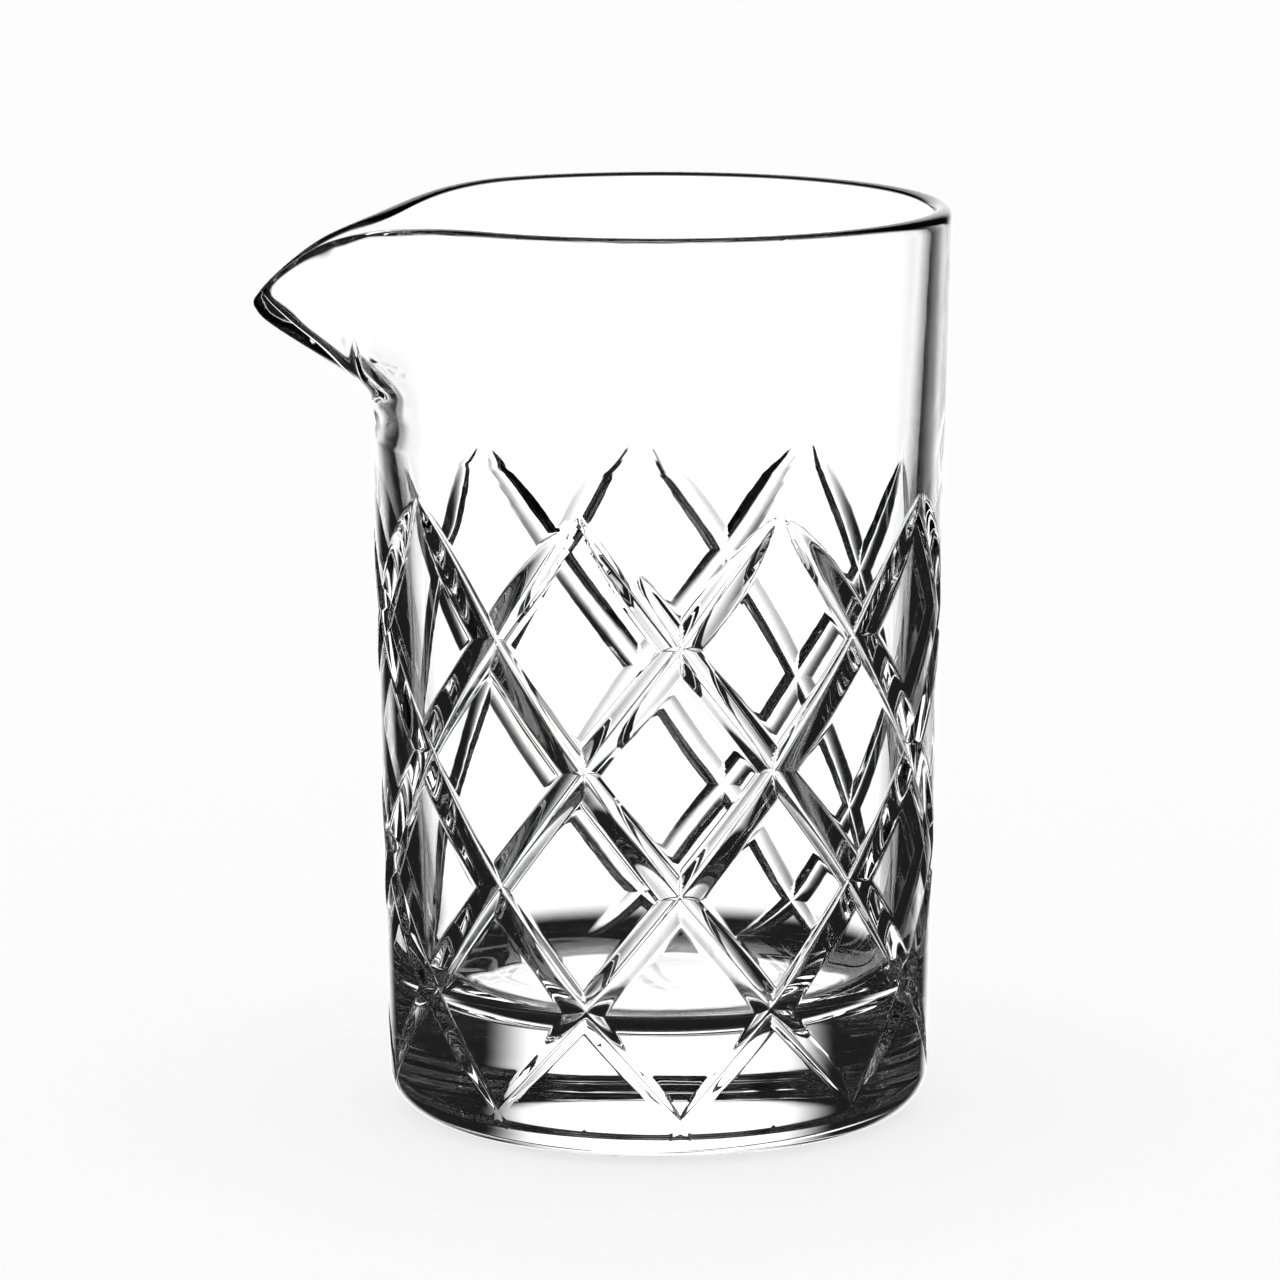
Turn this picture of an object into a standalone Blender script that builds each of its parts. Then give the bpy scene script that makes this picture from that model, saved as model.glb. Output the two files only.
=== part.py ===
"""A cut-glass mixing glass: one heavy tumbler with a pulled pouring beak.

The glass stands on the origin with its axis on Z. The beak points along -X.
The body is one turned profile, from the middle of the floor up the inner wall,
over the rounded rim, and down the outer wall to the middle of the base.
The beak is then drawn out of the rim, and two crossing families of mitre cuts
are taken off the outside, which leaves the diamond pattern between them.
All lengths are in metres. A "turn" is an angle round the axis.
"""

from math import atan2, cos, exp, pi, radians, sin, sqrt

import bmesh
import bpy
from mathutils import Vector

MM = 0.001

# Body
HEIGHT = 150.0 * MM
BASE_RADIUS = 44.6 * MM  # the outer wall's straight line, carried down to the base plane
TOP_RADIUS = 48.0 * MM  # the same line at the rim
TAPER = (TOP_RADIUS - BASE_RADIUS) / HEIGHT
BASE_CORNER = 6.5 * MM  # rounding between the base and the outer wall
FLOOR_HEIGHT = 19.0 * MM  # thickness of the solid base
FLOOR_CORNER = 10.0 * MM  # rounding between the floor and the inner wall
RIM_WALL = 3.2 * MM  # wall thickness at the rim
WALL_GAIN = 0.025  # the wall grows this much for each unit of height below the rim
SHOULDER = HEIGHT - RIM_WALL / 2  # height at which the rounded rim begins

# Beak
BEAK_AZIMUTH = pi
BEAK_REACH = 66.9 * MM  # axis to the outer face of the tip
BEAK_CREASE = 119.8 * MM  # height at which the keel leaves the wall
BEAK_SLOPE = 0.614  # rise of the keel for each unit of reach
BEAK_SOFTNESS = 1.6 * MM  # rounding of the crease under the keel
BEAK_SOFTNESS_IN = 3.0 * MM  # the same inside
BEAK_CAP_SOFT = 3.0 * MM  # rounding where the keel turns up into the tip
BEAK_LOW = 112.0 * MM  # the plain wall ends here, under the beak
BEAK_FADE = 4.0 * MM  # the beak fades in over this height above BEAK_LOW
BEAK_WIDTH = radians(5.6)  # sets the turn over which the beak falls to 1/e of its reach
BEAK_ROUND = radians(3.5)  # rounding of the keel, seen from above
BEAK_WIDTH_IN = radians(4.3)
BEAK_ROUND_IN = radians(2.0)
BEAK_SPREAD = 1.0  # how much wider the beak gets towards the crease
BEAK_WALL = 3.6 * MM  # thickness of the glass along the keel
BEAK_INNER_BACK = 2.0 * MM  # how far the tip's inner edge stands back from its outer one
BLEND_FROM = radians(4.0)  # the channel starts to turn into a wall of even thickness here
BLEND_OVER = radians(5.0)  # and has done so after this much more turn

# Lip of the beak
BEAK_DROP = 15.0 * MM  # the tip's top edge lies this far below the rim
BEAK_DROP_POWER = 2.45
BEAK_DROP_FROM = 26.0 * MM  # the lip starts to fall this far from the axis, along the beak
TIP_SHAPE_POWER = 3.0  # how late the rim's half round changes into the tip's section
TIP_OUTER = 2.5 * MM  # the tip's outer shoulder lies this far below its top edge
TIP_INNER = 0.35 * MM  # and its inner shoulder this far

# Cuts
CUTS_PER_HAND = 9
CUT_PITCH = 2 * pi / CUTS_PER_HAND  # between neighbouring cuts of one hand
ROW_TURN = CUT_PITCH / 2  # turn of a cut from one row of crossings to the next
# Heights of the rows of crossings, from the top down.
CUT_ROWS = [106.0 * MM, 84.3 * MM, 63.9 * MM, 43.8 * MM, 24.6 * MM, 7.2 * MM]
CUT_PHASE = radians(-4.0)  # turn of the nearest top-row crossing from the beak
CUT_DEPTH = 1.9 * MM
CUT_WIDTH = 5.2 * MM
CUT_STANDOFF = 0.5 * MM  # the cutter's centre line lies this far outside the wall
CUT_REACH = CUT_DEPTH + CUT_STANDOFF  # centre line to the cutting corner
LEFT_HAND_DEEPER = 0.08 * MM  # the left-hand cuts run through the right-hand ones
CUT_TOP_GAP = radians(1.2)  # a cut starts this far past its top-row crossing
CUT_OVERRUN = radians(1.7)  # and ends this far past its lowest crossing
CUT_RUN_OUT_TOP = radians(11.0)
CUT_RUN_OUT_BASE = radians(15.0)
CUT_LEAST_SCALE = CUT_STANDOFF / CUT_REACH * 0.8  # a section this small stays off the glass
CUT_END_SHARE = 0.15  # share of the way from the least scale to full size at a cut's ends

# Fineness
STEPS = 72  # round the axis
FLOOR_CORNER_STEPS = 5
BASE_CORNER_STEPS = 6
RIM_STEPS = 6
BEAK_BANDS = 9  # up each wall from BEAK_LOW to the shoulder
FLOOR_RING_GAP = 8.0 * MM  # the floor's last ring stands this far in from its corner
INNER_RINGS = (50.0 * MM, 80.0 * MM)  # heights of the single rings up the inner wall
OUTER_RINGS = (80.0 * MM, 45.0 * MM)  # and down the outer wall
COLUMN_PULL = 0.5  # draws the columns of the mesh closer together at the beak
COLUMN_PULL_DOUBLE = 0.13  # the same, at twice the frequency round the axis
CUT_STEP = radians(5.0)  # turn between stations of a cut
SHARP_ANGLE = radians(30)

# Tolerances
HEIGHT_TOLERANCE = 1e-7
AXIS_TOLERANCE = 1e-6
SLOPE_STEP = 0.05 * MM  # height step for the outer wall's slope
SWING_STEP = 0.001  # turn step for the same, in radians


# The turned body ------------------------------------------------------------


def outer_radius(z):
    """The outer wall, a straight taper."""
    return BASE_RADIUS + TAPER * z


def wall(z):
    """Wall thickness, measured along the radius."""
    return RIM_WALL + WALL_GAIN * (HEIGHT - z)


def inner_radius(z):
    return outer_radius(z) - wall(z)


def rim_radius():
    """Radius of the middle of the wall at the shoulder."""
    return (inner_radius(SHOULDER) + outer_radius(SHOULDER)) / 2


def arc(centre, radius, start, end, count):
    points = []
    for i in range(count + 1):
        angle = start + (end - start) * i / count
        points.append((centre[0] + radius * cos(angle), centre[1] + radius * sin(angle)))
    return points


def spaced(first, last, count):
    return [first + (last - first) * i / count for i in range(count + 1)]


def body_profile():
    """(radius, height) from the middle of the floor round to the middle of the base."""
    floor_ring = inner_radius(FLOOR_HEIGHT) - FLOOR_CORNER - FLOOR_RING_GAP
    floor_top = FLOOR_HEIGHT + FLOOR_CORNER
    floor_centre = (inner_radius(floor_top) - FLOOR_CORNER, floor_top)
    base_centre = (outer_radius(BASE_CORNER) - BASE_CORNER, BASE_CORNER)
    inner_heights = [*INNER_RINGS, *spaced(BEAK_LOW, SHOULDER, BEAK_BANDS)]
    outer_heights = [*spaced(SHOULDER, BEAK_LOW, BEAK_BANDS), *OUTER_RINGS]

    points = [(0.0, FLOOR_HEIGHT), (floor_ring, FLOOR_HEIGHT)]
    points += arc(floor_centre, FLOOR_CORNER, -pi / 2, 0.0, FLOOR_CORNER_STEPS)
    points += [(inner_radius(z), z) for z in inner_heights]
    # The rim's two end points already belong to the walls.
    points += arc((rim_radius(), SHOULDER), wall(SHOULDER) / 2, pi, 0.0, RIM_STEPS)[1:-1]
    points += [(outer_radius(z), z) for z in outer_heights]
    points += arc(base_centre, BASE_CORNER, 0.0, -pi / 2, BASE_CORNER_STEPS)
    points.append((0.0, 0.0))
    return points


def evaluated_mesh(source):
    """The object's shape as a new mesh. The object itself is removed."""
    bpy.context.view_layer.update()
    graph = bpy.context.evaluated_depsgraph_get()
    mesh = bpy.data.meshes.new_from_object(source.evaluated_get(graph))
    bpy.data.objects.remove(source)
    return mesh


def turned_body(collection):
    """Mesh of the plain tumbler, turned from its profile."""
    points = body_profile()
    edges = [(i, i + 1) for i in range(len(points) - 1)]
    mesh = bpy.data.meshes.new("body_profile")
    mesh.from_pydata([(radius, 0, z) for radius, z in points], edges, [])
    profile = bpy.data.objects.new("body_profile", mesh)
    collection.objects.link(profile)
    screw = profile.modifiers.new("turn", "SCREW")
    screw.steps = screw.render_steps = STEPS
    screw.use_merge_vertices = True
    screw.merge_threshold = 1e-5
    return evaluated_mesh(profile)


# The beak -------------------------------------------------------------------
# Every turn in this section is measured from the keel.


def smooth_step(x):
    x = min(1.0, max(0.0, x))
    return x * x * (3 - 2 * x)


def soft_plus(x, softness):
    """Close to 0 for x well below 0 and to x well above it, with a rounded change between."""
    return 0.5 * (x + sqrt(x * x + softness * softness))


def keel_out(z, crease, most, softness):
    """How far the keel line stands out from the wall at a height, levelling off at `most`."""
    cap = soft_plus(most, BEAK_CAP_SOFT)
    out = soft_plus((z - crease) / BEAK_SLOPE, softness)
    out = cap - soft_plus(most - out, BEAK_CAP_SOFT)
    return out * most / cap * smooth_step((z - BEAK_LOW) / BEAK_FADE)


def beak_share(turn, width, rounding):
    """1 on the keel, falling back to 0 on both sides in a hollow curve."""
    return exp(-(sqrt(turn * turn + rounding * rounding) - rounding) / width)


def widened(width, out, most):
    """The beak's width where its keel stands out by `out`."""
    return width * (1 + BEAK_SPREAD * max(0.0, 1 - out / most) ** 2)


def outer_wall(z, turn):
    """Radius of the outside, beak included."""
    radius = outer_radius(z)
    most = BEAK_REACH - radius
    out = keel_out(z, BEAK_CREASE, most, BEAK_SOFTNESS)
    return radius + out * beak_share(turn, widened(BEAK_WIDTH, out, most), BEAK_ROUND)


def channel_wall(z, turn):
    """Radius of the inside in the channel along the keel."""
    radius = inner_radius(z)
    slant = sqrt(1 + BEAK_SLOPE * BEAK_SLOPE)
    crease = BEAK_CREASE + BEAK_WALL * slant - wall(BEAK_CREASE) * BEAK_SLOPE
    most = BEAK_REACH - BEAK_INNER_BACK - radius
    out = keel_out(z, crease, most, BEAK_SOFTNESS_IN)
    return radius + out * beak_share(turn, widened(BEAK_WIDTH_IN, out, most), BEAK_ROUND_IN)


def even_wall(z, turn):
    """Radius of the inside for a wall of even thickness, allowing for the outside's slant."""
    outer = outer_wall(z, turn)
    rise = outer_wall(z + SLOPE_STEP, turn) - outer_wall(z - SLOPE_STEP, turn)
    rise /= 2 * SLOPE_STEP
    swing = outer_wall(z, turn + SWING_STEP) - outer_wall(z, turn - SWING_STEP)
    swing /= 2 * SWING_STEP * outer
    return outer - wall(z) * sqrt((1 + rise * rise + swing * swing) / (1 + TAPER * TAPER))


def inner_wall(z, turn):
    """The channel along the keel, blended into a wall of even thickness on both sides of it."""
    channel = channel_wall(z, turn)
    blend = smooth_step((abs(turn) - BLEND_FROM) / BLEND_OVER)
    return channel + (even_wall(z, turn) - channel) * blend


def lip_share(turn):
    """0 up to BEAK_DROP_FROM along the beak, 1 at the tip."""
    radius = outer_radius(SHOULDER)
    out = (BEAK_REACH - radius) * beak_share(turn, BEAK_WIDTH, BEAK_ROUND)
    along = (radius + out) * cos(turn)
    return max(0.0, (along - BEAK_DROP_FROM) / (BEAK_REACH - BEAK_DROP_FROM))


def lip(turn):
    """The two shoulders of the lip, as (radius, height): outer and inner."""
    share = lip_share(turn)
    top = HEIGHT - BEAK_DROP * share**BEAK_DROP_POWER
    tip = share**TIP_SHAPE_POWER
    outer = top - (RIM_WALL / 2) * (1 - tip) - TIP_OUTER * tip
    inner = top - (RIM_WALL / 2) * (1 - tip) - TIP_INNER * tip
    return (outer_wall(outer, turn), outer), (inner_wall(inner, turn), inner)


def column_turn(x, y):
    """Turn of a point from the keel, with the columns drawn closer together in the beak."""
    turn = atan2(y, x) - BEAK_AZIMUTH
    turn = atan2(sin(turn), cos(turn))  # into -pi to pi
    return turn - COLUMN_PULL * sin(turn) - COLUMN_PULL_DOUBLE * sin(2 * turn)


def beak_place(radius, z, turn):
    """New (radius, height) for a point of the turned body above BEAK_LOW."""
    outer_shoulder, inner_shoulder = (Vector(point) for point in lip(turn))
    if z > SHOULDER + HEIGHT_TOLERANCE:
        # The half round of the rim, from the outer shoulder to the inner one.
        angle = atan2(z - SHOULDER, radius - rim_radius())
        (outer_r, outer_z), (inner_r, inner_z) = lip(turn)
        middle = Vector(((outer_r + inner_r) / 2, (outer_z + inner_z) / 2))
        side = outer_shoulder - middle
        up = Vector((-side.y, side.x))
        return middle + cos(angle) * side + sin(angle) * up

    is_outer = radius > outer_radius(z) - wall(z) / 2
    surface = outer_wall if is_outer else inner_wall
    lip_height = lip(turn)[0 if is_outer else 1][1]
    z = BEAK_LOW + (z - BEAK_LOW) * (lip_height - BEAK_LOW) / (SHOULDER - BEAK_LOW)
    return surface(z, turn), z


def draw_out_beak(mesh):
    """Moves each point of the turned body above BEAK_LOW to its place in the beak."""
    for vertex in mesh.vertices:
        x, y, z = vertex.co
        radius = sqrt(x * x + y * y)
        if radius < AXIS_TOLERANCE:
            continue
        turn = column_turn(x, y)
        if z > BEAK_LOW + HEIGHT_TOLERANCE:
            radius, z = beak_place(radius, z, turn)
        azimuth = BEAK_AZIMUTH + turn
        vertex.co = (radius * cos(azimuth), radius * sin(azimuth), z)


# The cuts -------------------------------------------------------------------


def base_surface(z):
    """(radius, height) on the outer wall, carried round the base corner below it."""
    if z >= BASE_CORNER:
        return outer_radius(z), z
    angle = (BASE_CORNER - z) / BASE_CORNER
    return (
        outer_radius(BASE_CORNER) - BASE_CORNER * (1 - cos(angle)),
        BASE_CORNER - BASE_CORNER * sin(angle),
    )


def row_height(row):
    """Height of a cut after so many rows, fractions included."""
    above = min(int(row), len(CUT_ROWS) - 2)
    return CUT_ROWS[above] + (CUT_ROWS[above + 1] - CUT_ROWS[above]) * (row - above)


def cut_line(start, hand):
    """(point, scale of the section) along one helical cut, from its top end to its lower end."""
    first = CUT_TOP_GAP
    last = (len(CUT_ROWS) - 1) * ROW_TURN + CUT_OVERRUN
    standoff = CUT_STANDOFF - (LEFT_HAND_DEEPER if hand < 0 else 0.0)
    line = []
    for turn in spaced(first, last, round((last - first) / CUT_STEP)):
        radius, z = base_surface(row_height(turn / ROW_TURN))
        radius += standoff
        run_out = min(
            smooth_step((turn - first) / CUT_RUN_OUT_TOP),
            smooth_step((last - turn) / CUT_RUN_OUT_BASE),
        )
        share = CUT_END_SHARE + (1 - CUT_END_SHARE) * run_out
        scale = CUT_LEAST_SCALE + (1 - CUT_LEAST_SCALE) * share
        azimuth = start + hand * turn
        line.append((Vector((radius * cos(azimuth), radius * sin(azimuth), z)), scale))
    return line


def cutter_section(collection):
    """The cutter's cross-section: a flat diamond with one corner towards the glass."""
    half = CUT_WIDTH / 2 * CUT_REACH / CUT_DEPTH
    corners = ((CUT_REACH, 0), (0, half), (-CUT_REACH, 0), (0, -half))
    curve = bpy.data.curves.new("cut_section", "CURVE")
    curve.dimensions = "2D"
    spline = curve.splines.new("POLY")
    spline.points.add(len(corners) - 1)
    for point, (x, y) in zip(spline.points, corners):
        point.co = (x, y, 0, 1)
    spline.use_cyclic_u = True
    section = bpy.data.objects.new("cut_section", curve)
    section.hide_render = True
    collection.objects.link(section)
    return section


def swept_cut(name, line, section, collection):
    """Mesh of the section swept along a cut's line."""
    curve = bpy.data.curves.new(name, "CURVE")
    curve.dimensions = "3D"
    curve.twist_mode = "Z_UP"
    curve.bevel_mode = "OBJECT"
    curve.bevel_object = section
    curve.use_fill_caps = True
    spline = curve.splines.new("POLY")
    spline.points.add(len(line) - 1)
    for point, (place, scale) in zip(spline.points, line):
        point.co = (*place, 1)
        point.radius = scale
    guide = bpy.data.objects.new(name + "_line", curve)
    collection.objects.link(guide)
    return evaluated_mesh(guide)


def close_mesh(mesh):
    """Joins the end caps to the sweep and turns all faces outwards."""
    shape = bmesh.new()
    shape.from_mesh(mesh)
    bmesh.ops.remove_doubles(shape, verts=shape.verts, dist=1e-6)
    bmesh.ops.recalc_face_normals(shape, faces=shape.faces)
    shape.to_mesh(mesh)
    shape.free()


def make_cutter(name, line, section, collection):
    mesh = swept_cut(name, line, section, collection)
    close_mesh(mesh)
    cutter = bpy.data.objects.new(name, mesh)
    cutter.hide_render = True
    cutter.display_type = "WIRE"
    collection.objects.link(cutter)
    return cutter


def make_cutters(section, collection):
    """All right-hand cutters, then all left-hand ones."""
    cutters = []
    # Going down, right-hand cuts run anticlockwise seen from above, left-hand ones clockwise.
    for hand, side in ((1, "right"), (-1, "left")):
        for i in range(CUTS_PER_HAND):
            line = cut_line(BEAK_AZIMUTH + CUT_PHASE + i * CUT_PITCH, hand)
            cutters.append(make_cutter(f"cut_{side}_{i + 1}", line, section, collection))
    return cutters


def take_off(body, cutters):
    for cutter in cutters:
        boolean = body.modifiers.new(cutter.name, "BOOLEAN")
        boolean.operation = "DIFFERENCE"
        boolean.solver = "EXACT"
        boolean.object = cutter


# The scene ------------------------------------------------------------------


def clear_glass():
    material = bpy.data.materials.new("clear_glass")
    material.use_nodes = True
    settings = {
        "Base Color": (0.97, 0.98, 0.98, 1),
        "Metallic": 0.0,
        "Roughness": 0.02,
        "IOR": 1.51,
        "Transmission Weight": 1.0,
    }
    shader = material.node_tree.nodes["Principled BSDF"]
    for name, value in settings.items():
        shader.inputs[name].default_value = value
    return material


def make_body(parts, helpers):
    """The tumbler with its beak, still uncut."""
    mesh = turned_body(helpers)
    draw_out_beak(mesh)
    mesh.name = "glass_body"
    mesh.materials.append(clear_glass())
    for polygon in mesh.polygons:
        polygon.use_smooth = True
    mesh.set_sharp_from_angle(angle=SHARP_ANGLE)
    body = bpy.data.objects.new("glass_body", mesh)
    parts.objects.link(body)
    return body


def new_collection(name, parent):
    collection = bpy.data.collections.new(name)
    parent.children.link(collection)
    return collection


def main():
    for item in list(bpy.data.objects):
        bpy.data.objects.remove(item)
    scene_root = bpy.context.scene.collection
    parts = new_collection("mixing_glass", scene_root)
    helpers = new_collection("cutters", scene_root)
    tools = new_collection("cut_tools", helpers)

    body = make_body(parts, helpers)
    section = cutter_section(helpers)
    take_off(body, make_cutters(section, tools))


main()
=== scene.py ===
"""Looks of the cut-glass mixing glass: a fine mesh of the glass, its material, and a bright-field
studio.

The glass stands on z = 0 with its axis on Z, and its beak points along -X. The camera looks from
-Y. The glass is worked out in millimetres with the beak along +X, and turned round at the end."""

from math import cos, pi, radians, sin, sqrt

import bpy
import numpy as np
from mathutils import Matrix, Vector, geometry


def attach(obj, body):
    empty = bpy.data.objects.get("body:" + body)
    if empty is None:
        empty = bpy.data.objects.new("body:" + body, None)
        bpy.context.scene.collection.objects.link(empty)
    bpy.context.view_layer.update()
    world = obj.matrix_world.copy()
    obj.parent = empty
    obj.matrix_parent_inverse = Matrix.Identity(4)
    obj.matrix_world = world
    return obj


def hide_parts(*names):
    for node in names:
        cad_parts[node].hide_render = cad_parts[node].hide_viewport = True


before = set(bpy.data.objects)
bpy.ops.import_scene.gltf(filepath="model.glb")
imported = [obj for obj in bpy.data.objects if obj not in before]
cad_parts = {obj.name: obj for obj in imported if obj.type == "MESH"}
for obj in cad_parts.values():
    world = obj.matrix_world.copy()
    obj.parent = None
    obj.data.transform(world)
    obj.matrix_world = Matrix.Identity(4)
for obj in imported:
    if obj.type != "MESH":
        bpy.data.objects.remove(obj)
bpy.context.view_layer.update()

MM = 0.001

# ---------------------------------------------------------------------------
# Sizes, in millimetres and radians
# ---------------------------------------------------------------------------
HEIGHT = 150.0
BASE_RADIUS = 44.6
TOP_RADIUS = 48.0
TAPER = (TOP_RADIUS - BASE_RADIUS) / HEIGHT
BASE_CORNER = 6.5
FLOOR_HEIGHT = 19.0
FLOOR_CORNER = 10.0
RIM_WALL = 3.2
WALL_GAIN = 0.025  # growth of the wall for each millimetre below the rim
SHOULDER = HEIGHT - RIM_WALL / 2  # the rounding of the rim starts here

# The keel is the line down the middle of the beak, and the crease is where it leaves the wall
BEAK_REACH = 66.9
BEAK_CREASE = 119.8
BEAK_SLOPE = 0.614  # rise of the keel for each millimetre outwards
BEAK_SPREAD = 1.0  # how much wider the beak gets towards the crease
BEAK_SOFTNESS = 1.6
BEAK_SOFTNESS_IN = 3.0
BEAK_CAP_SOFT = 3.0  # softness of the bend where the keel reaches its full reach
BEAK_LOW = 112.0  # the plain wall ends here, under the beak
BEAK_FADE = 4.0
BEAK_WIDTH = radians(5.6)  # turn over which the beak falls back to 1/e of its reach
BEAK_ROUND = radians(3.5)  # rounding of the keel, seen from above
BEAK_WIDTH_IN = radians(4.3)
BEAK_ROUND_IN = radians(2.0)
BEAK_WALL = 3.6
BEAK_INNER_BACK = 2.0  # how far the tip's inner edge stands back from its outer one
BLEND_FROM = radians(4.0)  # the channel starts to blend into the even wall at this turn
BLEND_OVER = radians(5.0)

BEAK_DROP = 15.0  # fall of the lip from the rim to the tip
BEAK_DROP_POWER = 2.45
BEAK_DROP_FROM = 26.0  # the lip starts to fall this far from the axis, along the beak
TIP_SHAPE_POWER = 3.0
TIP_OUTER = 2.5  # how far the tip's outer and inner edges lie below its top
TIP_INNER = 0.35

CUTS_PER_HAND = 9
CUT_PHASE = radians(-4.0)  # turn of the nearest crossing column from the beak: two grid columns
PITCH = 2 * pi / CUTS_PER_HAND
TOP_ROW = 106.0
ROW_STEP = 20.3  # drop of a cut for each half pitch of turn
ROWS = 5
CUT_DEPTH = 1.9
CUT_HALF = 2.6
RUN_TOP = 16.0
RUN_BASE = 40.0
GAP_TOP = 1.6  # the cut starts this far, along itself, short of the crossing above it
OVERRUN = 0.6
VALLEY_SOFT = 0.34  # how far the wheel's worn edge rounds the valley, across the cut
FLANK_SLOPE = 0.62  # beside the valley; it grows towards the edge, because the wheel is rounded
EDGE_SOFT = 0.34  # how much depth the polish takes to round the edge of a cut
CROSS_SOFT = 0.20  # the same where two cuts cross
ZONE_TOP = 112.0  # the cut zone ends here, above the highest cut

WEDGE_COLUMNS = 10  # grid columns in one wedge of half a pitch
COLUMNS = 2 * CUTS_PER_HAND * WEDGE_COLUMNS
WELD = 0.004  # cell in which points become one


def outer_radius(z):
    return BASE_RADIUS + (TOP_RADIUS - BASE_RADIUS) * z / HEIGHT


def wall(z):
    return RIM_WALL + WALL_GAIN * (HEIGHT - z)


def inner_radius(z):
    return outer_radius(z) - wall(z)


def around(radius, turn, z):
    """Points from their radius, turn from the beak and height."""
    return np.stack([radius * np.cos(turn), radius * np.sin(turn), z], -1)


# ---------------------------------------------------------------------------
# The beak, for arrays of points
# ---------------------------------------------------------------------------


def ease(x):
    x = np.clip(x, 0.0, 1.0)
    return x * x * (3 - 2 * x)


def soft_plus(x, softness):
    return 0.5 * (x + np.sqrt(x * x + softness * softness))


def keel_out(z, crease, most, softness):
    """How far the keel line stands out from the wall at a height, at most `most`."""
    out = soft_plus((z - crease) / BEAK_SLOPE, softness)
    cap = soft_plus(most, BEAK_CAP_SOFT)
    out = cap - soft_plus(most - out, BEAK_CAP_SOFT)
    return out * most / cap * ease((z - BEAK_LOW) / BEAK_FADE)


def beak_share(turn, width, rounding):
    """1 on the keel, falling back to 0 on both sides in a hollow curve."""
    return np.exp(-(np.sqrt(turn * turn + rounding * rounding) - rounding) / width)


def beaked(z, turn, radius, reach, crease, softness, width, rounding):
    """Radius of a wall with a beak drawn out of it."""
    most = reach - radius
    out = keel_out(z, crease, most, softness)
    width = width * (1 + BEAK_SPREAD * np.maximum(0.0, 1 - out / most) ** 2)
    return radius + out * beak_share(turn, width, rounding)


def outer_wall(z, turn):
    return beaked(
        z, turn, outer_radius(z), reach=BEAK_REACH, crease=BEAK_CREASE,
        softness=BEAK_SOFTNESS, width=BEAK_WIDTH, rounding=BEAK_ROUND,
    )


def inner_wall(z, turn):
    """The channel along the keel, blended into a wall of even thickness on both sides of it."""
    slant = sqrt(1 + BEAK_SLOPE * BEAK_SLOPE)
    channel = beaked(
        z, turn, inner_radius(z), reach=BEAK_REACH - BEAK_INNER_BACK,
        crease=BEAK_CREASE + BEAK_WALL * slant - wall(BEAK_CREASE) * BEAK_SLOPE,
        softness=BEAK_SOFTNESS_IN, width=BEAK_WIDTH_IN, rounding=BEAK_ROUND_IN,
    )
    # the slopes of the outer wall, up and round, by small steps
    step = 0.05
    turn_step = step / 50
    outer = outer_wall(z, turn)
    rise = (outer_wall(z + step, turn) - outer_wall(z - step, turn)) / (2 * step)
    swing = outer_wall(z, turn + turn_step) - outer_wall(z, turn - turn_step)
    swing = swing / (2 * turn_step) / outer
    even = outer - wall(z) * np.sqrt((1 + rise * rise + swing * swing) / (1 + TAPER * TAPER))
    return channel + (even - channel) * ease((np.abs(turn) - BLEND_FROM) / BLEND_OVER)


def lip_heights(turn):
    """Heights of the lip's outer and inner edges."""
    radius = outer_radius(SHOULDER)
    share = beak_share(turn, BEAK_WIDTH, BEAK_ROUND)
    along = (radius + (BEAK_REACH - radius) * share) * np.cos(turn)
    # 0 where the lip leaves the rim circle, 1 at the tip
    share = np.maximum(0.0, (along - BEAK_DROP_FROM) / (BEAK_REACH - BEAK_DROP_FROM))
    top = HEIGHT - BEAK_DROP * share**BEAK_DROP_POWER
    tip = share**TIP_SHAPE_POWER
    edge = top - (RIM_WALL / 2) * (1 - tip)
    return edge - TIP_OUTER * tip, edge - TIP_INNER * tip


# ---------------------------------------------------------------------------
# The outer profile by arc length: equal to z on the wall, and below BASE_CORNER it runs round
# the base corner
# ---------------------------------------------------------------------------
FLAT_ARC = BASE_CORNER - BASE_CORNER * pi / 2  # where the corner meets the flat base


def outer_profile(arc):
    """Radius, z, and the radial and upward parts of the normal."""
    bend = np.clip((BASE_CORNER - arc) / BASE_CORNER, 0.0, pi / 2)
    on_wall = arc >= BASE_CORNER
    radius = np.where(
        on_wall,
        outer_radius(np.maximum(arc, BASE_CORNER)),
        outer_radius(BASE_CORNER) - BASE_CORNER * (1 - np.cos(bend)),
    )
    z = np.where(on_wall, arc, BASE_CORNER - BASE_CORNER * np.sin(bend))
    return radius, z, np.where(on_wall, 1.0, np.cos(bend)), np.where(on_wall, -TAPER, -np.sin(bend))


# ---------------------------------------------------------------------------
# The cuts, in the unrolled wall: x along the turn, arc up
# ---------------------------------------------------------------------------
UNROLL = 45.9  # radius that turns an angle into x
HALF_PITCH_X = UNROLL * PITCH / 2
STROKE = sqrt(HALF_PITCH_X**2 + ROW_STEP**2)
ALONG = np.array([HALF_PITCH_X, -ROW_STEP]) / STROKE  # along a right-hand cut, downwards
ACROSS = np.array([ROW_STEP, HALF_PITCH_X]) / STROKE
CUT_END = ROWS * STROKE + OVERRUN
FLANK_BEND = (
    CUT_DEPTH - FLANK_SLOPE * (sqrt(CUT_HALF**2 + VALLEY_SOFT**2) - VALLEY_SOFT)
) / CUT_HALF**2

# (hand, x of the top end), enough copies to cover one wedge and its neighbours
CUTS = [(hand, 2 * HALF_PITCH_X * i) for hand in (1, -1) for i in range(-4, 5)]

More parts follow.
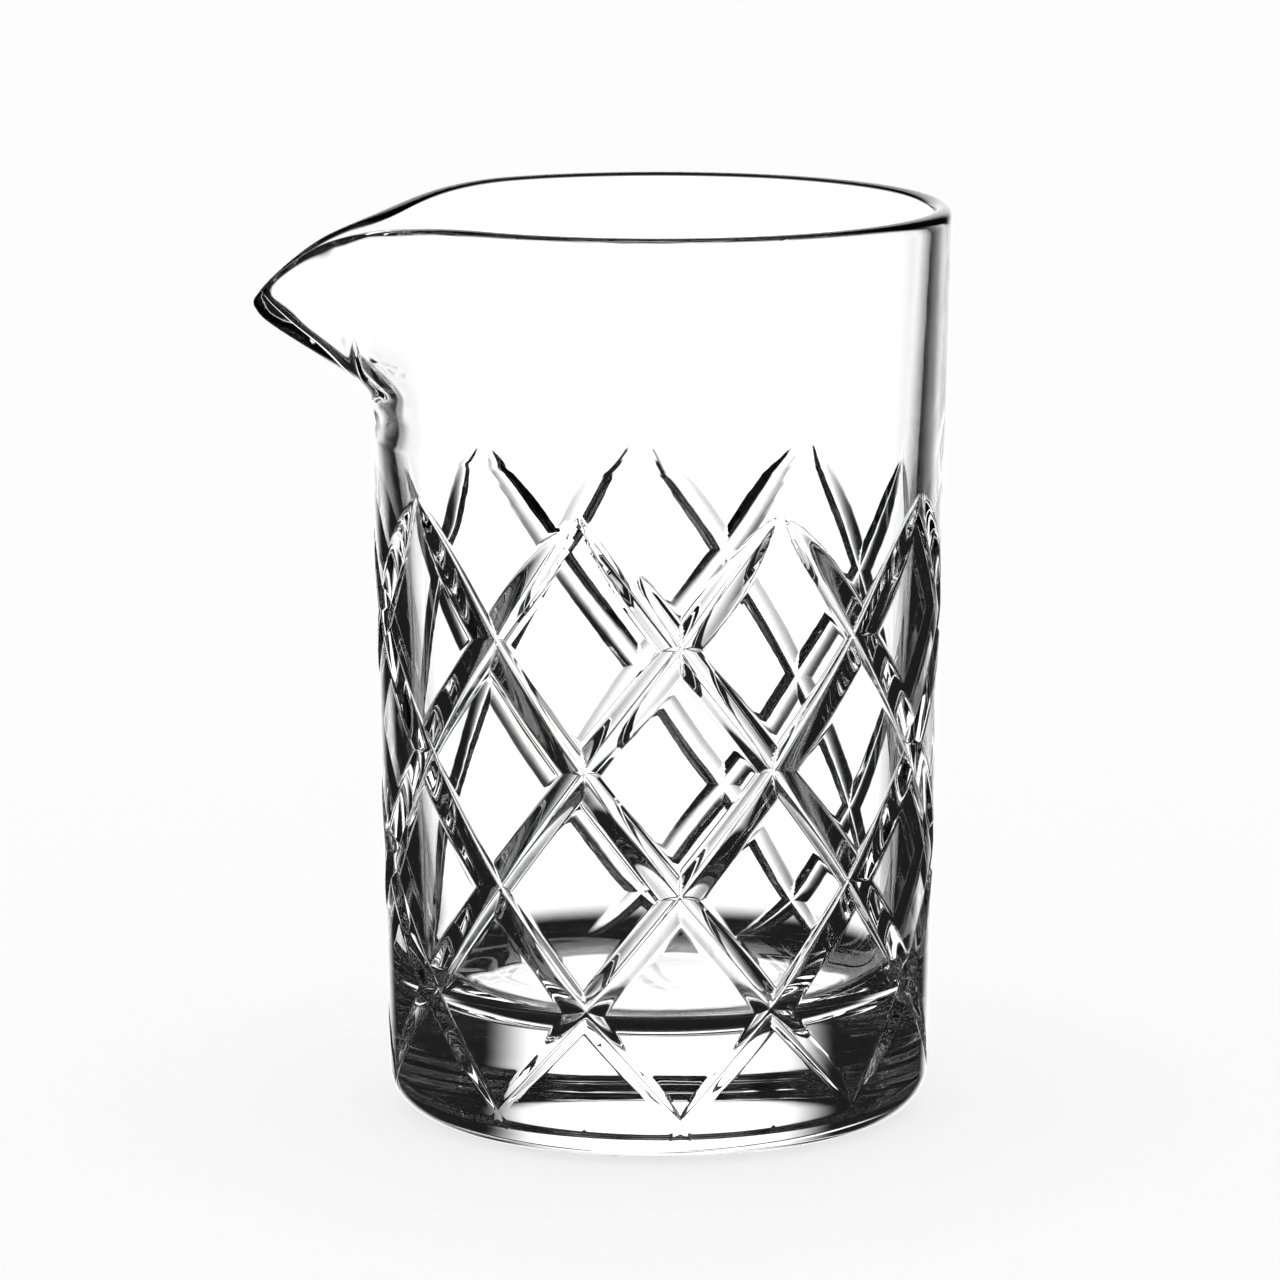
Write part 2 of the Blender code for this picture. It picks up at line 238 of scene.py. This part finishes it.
# The cutter's hand drifts: the rows stand this far from where straight cuts would put them
ROW_PLACES = [FLAT_ARC, *(TOP_ROW - ROW_STEP * row for row in range(ROWS, -1, -1)), ZONE_TOP]
ROW_DRIFT = [0.0, 2.6, -0.2, -1.3, -1.5, -1.4, 0.0, 0.0]
DRIFT_ARC = np.linspace(FLAT_ARC, ZONE_TOP, 400)
DRIFT = np.interp(DRIFT_ARC, ROW_PLACES, ROW_DRIFT)
for _ in range(40):
    DRIFT[1:-1] = (DRIFT[:-2] + 6 * DRIFT[1:-1] + DRIFT[2:]) / 8


def run_share(x):
    return np.where(x < 0, 2 * x, np.where(x > 1, 1.0, 2 * x - x * x))


def run_depth(along):
    """Depth at a distance along a cut: a wheel enters and leaves the glass in a shallow curve."""
    entry = CUT_DEPTH * run_share((along - GAP_TOP) / RUN_TOP)
    return entry * run_share((CUT_END - along) / RUN_BASE)


def one_cut(cut, x, arc):
    """Depth of a cut before the edges are polished: positive inside it, negative outside."""
    hand, top_x = cut
    side, rise = hand * (x - top_x), arc - TOP_ROW
    along = side * ALONG[0] + rise * ALONG[1]
    across = side * ACROSS[0] + rise * ACROSS[1]
    flank = FLANK_SLOPE * (np.sqrt(across * across + VALLEY_SOFT * VALLEY_SOFT) - VALLEY_SOFT)
    return run_depth(along) - flank - FLANK_BEND * across * across


def soft_max(first, second, soft):
    gap = np.maximum(soft - np.abs(first - second), 0.0)
    return np.maximum(first, second) + gap * gap / (4 * soft)


def cut_depth(x, arc):
    """Depth below the plain wall: wheel cuts that run into one another, with polished edges."""
    depth = one_cut(CUTS[0], x, arc)
    for cut in CUTS[1:]:
        depth = soft_max(depth, one_cut(cut, x, arc), CROSS_SOFT)
    # the polish rounds the edge towards the wall
    edge = (depth + EDGE_SOFT) ** 2 / (4 * EDGE_SOFT)
    return np.where(depth > EDGE_SOFT, depth, np.where(depth < -EDGE_SOFT, 0.0, edge))


def cut_surface(x, arc):
    """The points of the cut surface at places of the straight pattern."""
    depth = cut_depth(x, arc)
    radius, z, normal_out, normal_up = outer_profile(arc + np.interp(arc, DRIFT_ARC, DRIFT))
    return around(radius - depth * normal_out, x / UNROLL, z - depth * normal_up)


def cut_normals(x, arc):
    """Outward normals of the cut surface, by small steps."""
    step = 0.02
    sideways = cut_surface(x + step, arc) - cut_surface(x - step, arc)
    upwards = cut_surface(x, arc + step) - cut_surface(x, arc - step)
    normals = np.cross(sideways, upwards)
    return normals / np.linalg.norm(normals, axis=1)[:, None]


# Mesh lines beside each cut, by their distance across it: close at the valley and the edge
CUT_SPACING = 2 * HALF_PITCH_X * ACROSS[0]  # from one cut to the next of the same hand
OFFSETS = [
    0.0, 0.18, 0.42, 0.80, 1.30, 1.85, 2.30, 2.48, 2.68, 2.88, 3.40, 4.6, 6.6, 9.3,
    CUT_SPACING / 2,
]
BETWEEN = [3.9, 5.6, 7.5, 8.4, 10.3, 11.4]  # more lines where the wall turns round the base corner
FINE_BELOW = 8.0  # arc length below which those lines are used
CLEAR_LOW, CLEAR_HIGH = 0.4, 0.7  # kept clear of mesh points beside the lower and upper borders
SNAP = 1e-4  # points this near the wedge's sides are put on them
LEAST_AREA = 1e-7  # twice the area of the smallest triangle kept, less or more by sign


def wedge():
    """One wedge of the cut wall, from a crossing column (x = 0) to the next (half a pitch).

    Its points are where lines along the right-hand cuts meet lines along the left-hand ones, so
    that the mesh follows every cut."""
    width = HALF_PITCH_X

    def spread(offsets):
        return {
            round(k * CUT_SPACING + side * offset, 6)
            for k in range(-8, 9) for offset in offsets for side in (1, -1)
        }

    key = spread(OFFSETS)
    lines = np.array(sorted(key | spread(BETWEEN)))
    is_key = np.array([line in key for line in lines])
    # distances across the right-hand and left-hand cuts that start at x = 0
    right, left = np.meshgrid(lines, lines, indexing="ij")
    x = (right - left) / (2 * ACROSS[0])
    arc = TOP_ROW + (right + left) / (2 * ACROSS[1])
    x = np.where(np.abs(x) < SNAP, 0.0, np.where(np.abs(x - width) < SNAP, width, x))
    inside = (x >= 0) & (x <= width) & (arc > FLAT_ARC + CLEAR_LOW) & (arc < ZONE_TOP - CLEAR_HIGH)
    inside &= (is_key[:, None] & is_key[None, :]) | (arc < FINE_BELOW)
    number = -np.ones(x.shape, int)
    number[inside] = np.arange(inside.sum())
    points = [(float(across), float(up)) for across, up in zip(x[inside], arc[inside])]
    edges = []
    for i in np.where(is_key)[0]:
        for path in (number[i, :], number[:, i]):
            path = path[path >= 0]
            edges.extend((int(start), int(end)) for start, end in zip(path[:-1], path[1:]))
    for border in (FLAT_ARC, ZONE_TOP):
        start = len(points)
        points.extend((width * i / WEDGE_COLUMNS, border) for i in range(WEDGE_COLUMNS + 1))
        edges.extend((start + i, start + i + 1) for i in range(WEDGE_COLUMNS))
    out = geometry.delaunay_2d_cdt([Vector(point) for point in points], edges, [], 0, 1e-4)
    verts = np.array([tuple(vert) for vert in out[0]])
    faces = np.array(list(out[2]))
    # drop flat triangles and turn the rest the same way
    corner = verts[faces[:, 0]]
    side = verts[faces[:, 1]] - corner
    other = verts[faces[:, 2]] - corner
    area = side[:, 0] * other[:, 1] - side[:, 1] * other[:, 0]
    kept = np.abs(area) > LEAST_AREA
    faces, area = faces[kept], area[kept]
    faces[area < 0] = faces[area < 0][:, ::-1]
    return verts, faces


def cut_wall():
    """Points, triangles and normals of the whole cut zone."""
    verts, faces = wedge()
    x, arc = verts[:, 0], verts[:, 1]
    place, normals = cut_surface(x, arc), cut_normals(x, arc)
    all_points, all_faces, all_normals = [], [], []
    for i in range(2 * CUTS_PER_HAND):
        # Even wedges are turned copies, and odd ones are mirrored in their crossing column
        odd = i % 2
        angle = (i + odd) * PITCH / 2 + CUT_PHASE
        cosine, sine = cos(angle), sin(angle)
        turn = np.array([[cosine, -sine, 0], [sine, cosine, 0], [0, 0, 1]])
        if odd:
            turn = turn @ np.diag([1.0, -1.0, 1.0])
        all_points.append(place @ turn.T)
        all_normals.append(normals @ turn.T)
        wedge_faces = faces + len(place) * i
        all_faces.append(wedge_faces[:, ::-1] if odd else wedge_faces)
    return np.concatenate(all_points), np.concatenate(all_faces), np.concatenate(all_normals)


# ---------------------------------------------------------------------------
# The rest of the glass: rings of points round the axis
# ---------------------------------------------------------------------------
WALL_STEPS = 44
RIM_STEPS = 14
INNER_TOP_POINTS = 41  # from the shoulder down to BEAK_LOW
INNER_LOW_POINTS = 45  # from there down to the floor corner
CORNER_STEPS = 16
FLOOR_STEPS = 14
BASE_RINGS = 12
# The columns crowd towards the beak, fully so above these bands of height: (start, extent)
CROWD_OUTER = (ZONE_TOP, 6.0)
CROWD_INNER = (100.0, 14.0)

EVEN_TURN = 2 * pi * np.arange(COLUMNS) / COLUMNS


def turned_rings():
    """Rings from the top of the cut zone over the rim to just short of the floor's middle."""
    plain = np.arctan2(np.sin(EVEN_TURN), np.cos(EVEN_TURN))  # signed turn from the beak
    rings = []

    def crowded(share):
        return plain - share * (0.5 * np.sin(plain) + 0.15 * np.sin(2 * plain))

    def crowded_at(height, band):
        return crowded(ease((height - band[0]) / band[1]))

    # outer wall
    for j in range(WALL_STEPS + 1):
        share = j / WALL_STEPS
        turn = crowded_at(ZONE_TOP + (SHOULDER - ZONE_TOP) * share, CROWD_OUTER)
        z = ZONE_TOP + (lip_heights(turn)[0] - ZONE_TOP) * share
        rings.append(around(outer_wall(z, turn), turn, z))
    # rim: half a circle from the outer edge to the inner one
    turn = crowded(1.0)
    outer_z, inner_z = lip_heights(turn)
    outer = outer_wall(outer_z, turn)
    middle, middle_z = (outer + inner_wall(inner_z, turn)) / 2, (outer_z + inner_z) / 2
    reach, reach_z = outer - middle, outer_z - middle_z
    for j in range(1, RIM_STEPS):
        bend = pi * j / RIM_STEPS
        radius = middle + cos(bend) * reach - sin(bend) * reach_z
        z = middle_z + cos(bend) * reach_z + sin(bend) * reach
        rings.append(around(radius, turn, z))
    # inner wall
    low = FLOOR_HEIGHT + FLOOR_CORNER
    heights = list(np.linspace(SHOULDER, BEAK_LOW, INNER_TOP_POINTS))
    heights += list(np.linspace(BEAK_LOW, low, INNER_LOW_POINTS))[1:]
    for height in heights:
        turn = crowded_at(height, CROWD_INNER)
        z = np.full(COLUMNS, height)
        if height > BEAK_LOW:
            share = (height - BEAK_LOW) / (SHOULDER - BEAK_LOW)
            z = BEAK_LOW + (lip_heights(turn)[1] - BEAK_LOW) * share
        rings.append(around(inner_wall(z, turn), turn, z))
    # floor corner and floor
    corner = inner_radius(low) - FLOOR_CORNER
    for j in range(1, CORNER_STEPS + 1):
        bend = pi / 2 * j / CORNER_STEPS
        z = np.full(COLUMNS, low - FLOOR_CORNER * sin(bend))
        rings.append(around(corner + FLOOR_CORNER * cos(bend), plain, z))
    for j in range(1, FLOOR_STEPS):
        z = np.full(COLUMNS, FLOOR_HEIGHT)
        rings.append(around(corner * (1 - j / FLOOR_STEPS), plain, z))
    return rings


def base_rings():
    """Rings of the base's flat, from the corner inwards."""
    flat = float(outer_radius(BASE_CORNER) - BASE_CORNER)
    level = np.zeros(COLUMNS)
    return [around(flat * (1 - j / BASE_RINGS), EVEN_TURN, level) for j in range(BASE_RINGS)]


def ring_faces(first, count, downwards=False):
    """Quads between rings of points that start at number `first`, then a fan to the point after
    them."""
    faces = []
    for j in range(count):
        near = first + j * COLUMNS
        far = near + COLUMNS
        for i in range(COLUMNS):
            k = (i + 1) % COLUMNS
            if j == count - 1:
                faces.append((near + k, near + i, far) if downwards else (near + i, near + k, far))
            elif downwards:
                faces.append((near + i, far + i, far + k, near + k))
            else:
                faces.append((near + i, near + k, far + k, far + i))
    return faces


def weld(points, normals, faces):
    """Joins points that share a cell, keeping the first, and drops faces that collapse."""
    cells = np.round(points / WELD).astype(np.int64)
    _, index, inverse = np.unique(cells, axis=0, return_index=True, return_inverse=True)
    inverse = inverse.reshape(-1)
    welded = []
    for face in faces:
        corners = [int(inverse[i]) for i in face]
        corners = [corner for i, corner in enumerate(corners) if corner != corners[i - 1]]
        if len(set(corners)) >= 3:
            welded.append(corners)
    return points[index], normals[index], welded


def build_glass():
    cut_points, cut_faces, normals = cut_wall()
    points = [cut_points]
    faces = cut_faces.tolist()
    total = len(cut_points)
    for rings, middle_z, downwards in (
        (turned_rings(), FLOOR_HEIGHT, False),
        (base_rings(), 0.0, True),
    ):
        points += rings + [np.array([[0.0, 0.0, middle_z]])]
        faces += ring_faces(total, len(rings), downwards)
        total += len(rings) * COLUMNS + 1
    points = np.concatenate(points)
    # a zero normal leaves the point its smooth one
    normals = np.concatenate([normals, np.zeros((len(points) - len(normals), 3))])
    points, normals, faces = weld(points, normals, faces)
    # turn the beak to -X
    half_turn = np.array([-1.0, -1.0, 1.0])
    mesh = bpy.data.meshes.new("mixing_glass")
    mesh.from_pydata((points * half_turn * MM).tolist(), [], faces)
    mesh.validate()
    mesh.update()
    mesh.shade_smooth()
    mesh.normals_split_custom_set_from_vertices((normals * half_turn).tolist())
    glass = bpy.data.objects.new("mixing_glass", mesh)
    bpy.context.scene.collection.objects.link(glass)
    return glass


# ---------------------------------------------------------------------------
# Shader helpers
# ---------------------------------------------------------------------------


def math_node(tree, operation, *values):
    """A math node on numbers or sockets."""
    node = tree.nodes.new("ShaderNodeMath")
    node.operation = operation
    for i, value in enumerate(values):
        if isinstance(value, (int, float)):
            node.inputs[i].default_value = value
        else:
            tree.links.new(value, node.inputs[i])
    return node.outputs[0]


def smooth_between(tree, value, low, high, to_low=0.0, to_high=1.0):
    node = tree.nodes.new("ShaderNodeMapRange")
    node.interpolation_type = "SMOOTHSTEP"
    node.inputs["From Min"].default_value = low
    node.inputs["From Max"].default_value = high
    node.inputs["To Min"].default_value = to_low
    node.inputs["To Max"].default_value = to_high
    tree.links.new(value, node.inputs["Value"])
    return node.outputs["Result"]


def fade_between(tree, value, low, high):
    return math_node(tree, "SUBTRACT", 1.0, smooth_between(tree, value, low, high))


# ---------------------------------------------------------------------------
# Glass material. Noise scales are per metre, heights in metres
# ---------------------------------------------------------------------------
WAVE_SCALE = 30.0  # waviness left by the mould
WAVE_HEIGHT = 0.00060
HEATED = (0.070, 0.100)  # height over which it fades
RIPPLE_SCALE = 230.0  # finer unevenness left by the polishing
RIPPLE_HEIGHT = 0.000006
POLISH_SCALE = 30.0  # traces of handling
POLISH_RANGE = (0.45, 0.75)  # noise values between which the roughness grows
GLASS_ROUGHNESS = (0.0, 0.014)


def clear_glass():
    """Clear polished glass: slightly wavy, with traces of handling in its polish."""
    material = bpy.data.materials.new("clear_glass")
    material.use_nodes = True
    tree = material.node_tree
    shader = tree.nodes["Principled BSDF"]
    shader.inputs["Base Color"].default_value = (1.0, 1.0, 1.0, 1)
    shader.inputs["Metallic"].default_value = 0.0
    shader.inputs["IOR"].default_value = 1.52
    shader.inputs["Transmission Weight"].default_value = 1.0
    place = tree.nodes.new("ShaderNodeTexCoord")

    def noise(scale, detail, stretch=(1.0, 1.0, 1.0)):
        mapping = tree.nodes.new("ShaderNodeMapping")
        mapping.inputs["Scale"].default_value = stretch
        tree.links.new(place.outputs["Object"], mapping.inputs["Vector"])
        texture = tree.nodes.new("ShaderNodeTexNoise")
        texture.inputs["Scale"].default_value = scale
        texture.inputs["Detail"].default_value = detail
        texture.inputs["Roughness"].default_value = 0.4
        tree.links.new(mapping.outputs[0], texture.inputs["Vector"])
        return texture.outputs["Fac"]

    def bump(height, distance):
        node = tree.nodes.new("ShaderNodeBump")
        node.inputs["Strength"].default_value = 1.0
        node.inputs["Distance"].default_value = distance
        tree.links.new(height, node.inputs["Height"])
        return node

    # the top was heated again to draw the beak, so the mould's waviness melted away there
    height = tree.nodes.new("ShaderNodeSeparateXYZ")
    tree.links.new(place.outputs["Object"], height.inputs[0])
    cool = fade_between(tree, height.outputs["Z"], *HEATED)
    rise = noise(scale=WAVE_SCALE, detail=1.0, stretch=(1.0, 1.0, 0.8))
    rise = math_node(tree, "SUBTRACT", rise, 0.5)
    wave = bump(math_node(tree, "MULTIPLY", rise, cool), distance=WAVE_HEIGHT)
    ripple = bump(noise(scale=RIPPLE_SCALE, detail=2.0), distance=RIPPLE_HEIGHT)
    tree.links.new(wave.outputs[0], ripple.inputs["Normal"])
    tree.links.new(ripple.outputs[0], shader.inputs["Normal"])
    handling = noise(scale=POLISH_SCALE, detail=6.0)
    polish = smooth_between(tree, handling, *POLISH_RANGE, *GLASS_ROUGHNESS)
    tree.links.new(polish, shader.inputs["Roughness"])
    return material


# ---------------------------------------------------------------------------
# The studio is a bright field: seen through the glass, a soft bright window stands behind it and
# everything else is dark, so that plain glass stays clear and edges, cuts and corners draw
# themselves in black. The window follows the camera.
# ---------------------------------------------------------------------------
WINDOW = 1.5  # its strength; the plain backdrop that the camera sees past the glass is 1
WINDOW_SIDE = (15.0, 29.0)  # degrees off the line of sight over which it fades, to the sides
WINDOW_DOWN = (14.0, 29.0)
WINDOW_UP = (46.0, 64.0)
WINDOW_FLARE = 0.2  # the window is wider higher up
FLARE_RISE = (5.0, 35.0)  # degrees over which it widens
DARK = 0.012

FLOOR_RADIUS = 3.0
FLOOR_Z = -0.0002
FLOOR_GLOW = 0.985
FLOOR_SHADE = 0.35  # how much of the floor's own soft shadow shows


def bright_field(tree, direction):
    """Strength of the light from a direction in the camera's axes (x right, y up, z ahead)."""
    parts = tree.nodes.new("ShaderNodeSeparateXYZ")
    tree.links.new(direction, parts.inputs[0])
    x = math_node(tree, "ABSOLUTE", parts.outputs["X"])
    side = math_node(tree, "ARCTAN2", x, parts.outputs["Z"])
    side = math_node(tree, "MULTIPLY", side, 180 / pi)
    rise = math_node(tree, "ARCSINE", parts.outputs["Y"])
    rise = math_node(tree, "MULTIPLY", rise, 180 / pi)
    flare = math_node(tree, "MULTIPLY", smooth_between(tree, rise, *FLARE_RISE), WINDOW_FLARE)
    side = math_node(tree, "MULTIPLY", side, math_node(tree, "SUBTRACT", 1.0, flare))
    lit = fade_between(tree, side, *WINDOW_SIDE)
    lit = math_node(tree, "MULTIPLY", lit, fade_between(tree, rise, *WINDOW_UP))
    below = smooth_between(tree, rise, -WINDOW_DOWN[1], -WINDOW_DOWN[0])
    lit = math_node(tree, "MULTIPLY", lit, below)
    return math_node(tree, "ADD", DARK, math_node(tree, "MULTIPLY", lit, WINDOW - DARK))


def plain_share(tree):
    """1 for camera rays and for light on the floor, 0 for what is seen through the glass."""
    path = tree.nodes.new("ShaderNodeLightPath")
    plain = math_node(tree, "ADD", path.outputs["Is Camera Ray"], path.outputs["Diffuse Depth"])
    return math_node(tree, "GREATER_THAN", plain, 0.5)


def studio_world():
    world = bpy.data.worlds.new("studio")
    bpy.context.scene.world = world
    world.use_nodes = True
    tree = world.node_tree
    tree.nodes.clear()
    out = tree.nodes.new("ShaderNodeOutputWorld")
    place = tree.nodes.new("ShaderNodeTexCoord")
    unit = tree.nodes.new("ShaderNodeVectorMath")
    unit.operation = "NORMALIZE"
    tree.links.new(place.outputs["Camera"], unit.inputs[0])
    seen = bright_field(tree, unit.outputs[0])
    mix = tree.nodes.new("ShaderNodeMix")
    mix.data_type = "FLOAT"
    tree.links.new(plain_share(tree), mix.inputs[0])
    tree.links.new(seen, mix.inputs[2])
    mix.inputs[3].default_value = 1.0
    shade = tree.nodes.new("ShaderNodeBackground")
    shade.inputs["Color"].default_value = (1, 1, 1, 1)
    tree.links.new(mix.outputs[0], shade.inputs["Strength"])
    tree.links.new(shade.outputs[0], out.inputs["Surface"])


def pale_floor():
    """A plain pale surface. Seen through the glass it belongs to the bright field."""
    material = bpy.data.materials.new("pale_floor")
    material.use_nodes = True
    tree = material.node_tree

    def mix_shaders(share, first, second):
        mix = tree.nodes.new("ShaderNodeMixShader")
        if isinstance(share, float):
            mix.inputs[0].default_value = share
        else:
            tree.links.new(share, mix.inputs[0])
        tree.links.new(first.outputs[0], mix.inputs[1])
        tree.links.new(second.outputs[0], mix.inputs[2])
        return mix

    shader = tree.nodes["Principled BSDF"]
    shader.inputs["Base Color"].default_value = (0.97, 0.97, 0.97, 1)
    shader.inputs["Roughness"].default_value = 0.9
    shader.inputs["Specular IOR Level"].default_value = 0.0
    pale = tree.nodes.new("ShaderNodeEmission")
    pale.inputs["Strength"].default_value = FLOOR_GLOW
    base = mix_shaders(FLOOR_SHADE, pale, shader)
    # the direction from the eye to the floor, in the camera's axes
    place = tree.nodes.new("ShaderNodeNewGeometry")
    away = tree.nodes.new("ShaderNodeVectorMath")
    away.operation = "SCALE"
    away.inputs["Scale"].default_value = -1.0
    tree.links.new(place.outputs["Incoming"], away.inputs[0])
    turned = tree.nodes.new("ShaderNodeVectorTransform")
    turned.vector_type = "VECTOR"
    turned.convert_from = "WORLD"
    turned.convert_to = "CAMERA"
    tree.links.new(away.outputs[0], turned.inputs[0])
    glow = tree.nodes.new("ShaderNodeEmission")
    tree.links.new(bright_field(tree, turned.outputs[0]), glow.inputs["Strength"])
    mix = mix_shaders(plain_share(tree), glow, base)
    tree.links.new(mix.outputs[0], tree.nodes["Material Output"].inputs["Surface"])
    material.cycles.emission_sampling = "NONE"
    return material


def floor():
    bpy.ops.mesh.primitive_circle_add(
        vertices=128, radius=FLOOR_RADIUS, fill_type="NGON", location=(0, 0, FLOOR_Z)
    )
    disc = bpy.context.object
    disc.name = "floor"
    disc.data.materials.append(pale_floor())


# Camera place in metres and radians; the azimuth is from -Y towards +X
CAMERA_AZIMUTH = radians(1.5)
CAMERA_AWAY = 1.09275
CAMERA_HEIGHT = 0.2788
CAMERA_PITCH = 0.1820251  # downwards
SENSOR = 36
LENS = 189.4010625
SHIFT_X = -0.014453125
BOUNCES = 14  # longer paths in the cut glass end in the dark


def camera():
    data = bpy.data.cameras.new("camera")
    cam = bpy.data.objects.new("camera", data)
    bpy.context.scene.collection.objects.link(cam)
    bpy.context.scene.camera = cam
    side, back = CAMERA_AWAY * sin(CAMERA_AZIMUTH), -CAMERA_AWAY * cos(CAMERA_AZIMUTH)
    cam.location = (side, back, CAMERA_HEIGHT)
    cam.rotation_euler = (pi / 2 - CAMERA_PITCH, 0, CAMERA_AZIMUTH)
    data.sensor_width = SENSOR
    data.lens = LENS
    data.shift_x = SHIFT_X
    data.clip_start = 0.01
    data.clip_end = 50


def render_settings():
    scene = bpy.context.scene
    scene.view_settings.view_transform = "Standard"
    scene.view_settings.look = "None"
    scene.cycles.max_bounces = BOUNCES
    scene.cycles.transmission_bounces = BOUNCES
    scene.cycles.glossy_bounces = BOUNCES
    scene.cycles.diffuse_bounces = 3


glass = build_glass()
glass.data.materials.append(clear_glass())
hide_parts("glass_body")
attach(glass, "root")
studio_world()
floor()
camera()
render_settings()
